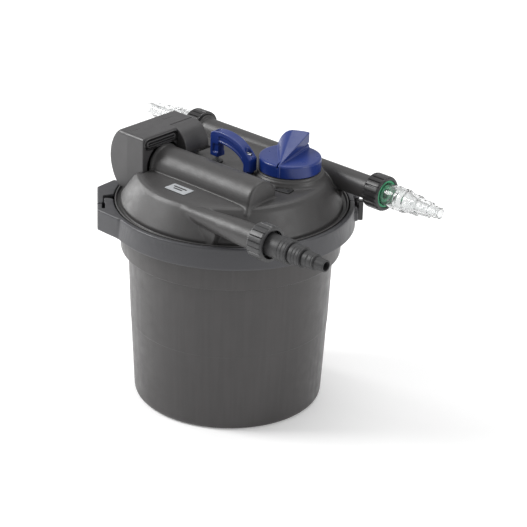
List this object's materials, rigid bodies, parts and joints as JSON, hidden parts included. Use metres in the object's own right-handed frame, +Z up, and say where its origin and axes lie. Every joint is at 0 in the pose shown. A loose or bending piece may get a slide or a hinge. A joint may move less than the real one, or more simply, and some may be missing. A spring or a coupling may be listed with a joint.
{
  "type": "pressurized pond filter",
  "caption": "Round pressure filter for a garden pond: tapered bucket, clamp ring, domed lid with hose unions, cleaning handle, selector knob and plug-in UV clarifier.",
  "frame": {"origin": "centre of the container's flat underside, on the floor", "axes": "+Z up along the container; +X along the hose tubes towards the front and right adapters; -Y is the front tube's side"},
  "size_m": [0.605, 0.38, 0.429],
  "materials": {
    "anthracite": "satin",
    "ring": "satin",
    "black": "satin",
    "blue": "gloss",
    "clear": "clear gloss",
    "green": "gloss",
    "cream": "satin",
    "steel": "brushed",
    "rubber": "matt",
    "foam_blue": "open foam",
    "foam_red": "open foam",
    "white": "satin",
    "glass": "clear",
    "ballast": "satin"
  },
  "bodies": {
    "base": {"container": "anthracite", "clamp_ring_rear": "ring", "clamp_lever_pin": "steel"},
    "clamp_front": {"clamp_ring_front": "ring"},
    "lever": {"clamp_lever": "black"},
    "lid": {"lid_shell": "anthracite", "lid_seal": "rubber", "label_plate": "white", "symbol_pad": "black", "rod_bush_left": "black", "rod_bush_right": "black", "top_grid": "black", "centre_pipe": "black", "foam_1": "foam_red", "foam_2": "foam_red", "foam_3": "foam_blue", "foam_4": "foam_blue", "foam_5": "foam_blue", "spindle_seal": "rubber"},
    "pull_handle": {"handle": "blue", "handle_screw_left": "steel", "handle_screw_right": "steel", "pull_rod_left": "steel", "pull_rod_right": "steel", "rod_nut_left": "steel", "rod_nut_right": "steel", "pressure_plate": "black"},
    "knob": {"selector_knob": "blue", "valve_rotor": "black"},
    "uv_head": {"head_cover": "anthracite", "head_hood": "anthracite", "head_screw": "steel", "head_base": "black", "ballast": "ballast", "uv_lamp": "white", "lamp_holder": "black", "quartz_sleeve": "glass", "sleeve_seal": "rubber", "cable_gland": "black", "mains_cable": "rubber"},
    "latch": {"head_latch": "anthracite"},
    "front_hose": {"front_adapter": "black", "front_flat_seal": "rubber"},
    "front_union": {"front_nut": "anthracite"},
    "right_hose": {"right_adapter": "clear", "right_flat_seal": "rubber", "right_insert": "green"},
    "right_union": {"right_nut": "black"},
    "left_hose": {"left_adapter": "clear", "left_flat_seal": "rubber", "left_insert": "cream"},
    "left_union": {"left_nut": "black"}
  },
  "joints": [
    {"name": "clamp_front_pull", "type": "slide", "parent": "base", "child": "clamp_front", "axis": [0.7071, -0.7071, 0], "range_m": [0, 0.08]},
    {"name": "clamp_lever_swing", "type": "hinge", "parent": "base", "child": "lever", "pos_m": [0.11016, 0.16332, 0.305], "axis": [0, 0, 1], "range_deg": [0, 100]},
    {"name": "lid_lift", "type": "slide", "parent": "base", "child": "lid", "axis": [0, 0, 1], "range_m": [0, 0.35]},
    {"name": "handle_lift", "type": "slide", "parent": "lid", "child": "pull_handle", "axis": [0, 0, 1], "range_m": [0, 0.1], "deforming": ["foam_1", "foam_2", "foam_3", "foam_4", "foam_5"]},
    {"name": "knob_turn", "type": "hinge", "parent": "lid", "child": "knob", "pos_m": [0.0745, 0.0465, 0.392], "axis": [0, 0, 1], "range_deg": [0, 90]},
    {"name": "uv_head_withdraw", "type": "slide", "parent": "lid", "child": "uv_head", "axis": [-1, 0, 0], "range_m": [0, 0.21]},
    {"name": "head_latch_press", "type": "slide", "parent": "uv_head", "child": "latch", "axis": [-1, 0, 0], "range_m": [0, 0.003]},
    {"name": "front_hose_pull", "type": "slide", "parent": "lid", "child": "front_hose", "axis": [1, 0, 0], "range_m": [0, 0.03]},
    {"name": "front_nut_turn", "type": "hinge", "parent": "front_hose", "child": "front_union", "pos_m": [0.1935, -0.137, 0.3545], "axis": [1, 0, 0], "continuous": true},
    {"name": "right_hose_pull", "type": "slide", "parent": "lid", "child": "right_hose", "axis": [1, 0, 0], "range_m": [0, 0.03]},
    {"name": "right_nut_turn", "type": "hinge", "parent": "right_hose", "child": "right_union", "pos_m": [0.1965, 0.115, 0.3595], "axis": [1, 0, 0], "continuous": true},
    {"name": "left_hose_pull", "type": "slide", "parent": "lid", "child": "left_hose", "axis": [-1, 0, 0], "range_m": [0, 0.03]},
    {"name": "left_nut_turn", "type": "hinge", "parent": "left_hose", "child": "left_union", "pos_m": [-0.1795, 0.115, 0.3595], "axis": [-1, 0, 0], "continuous": true}
  ]
}
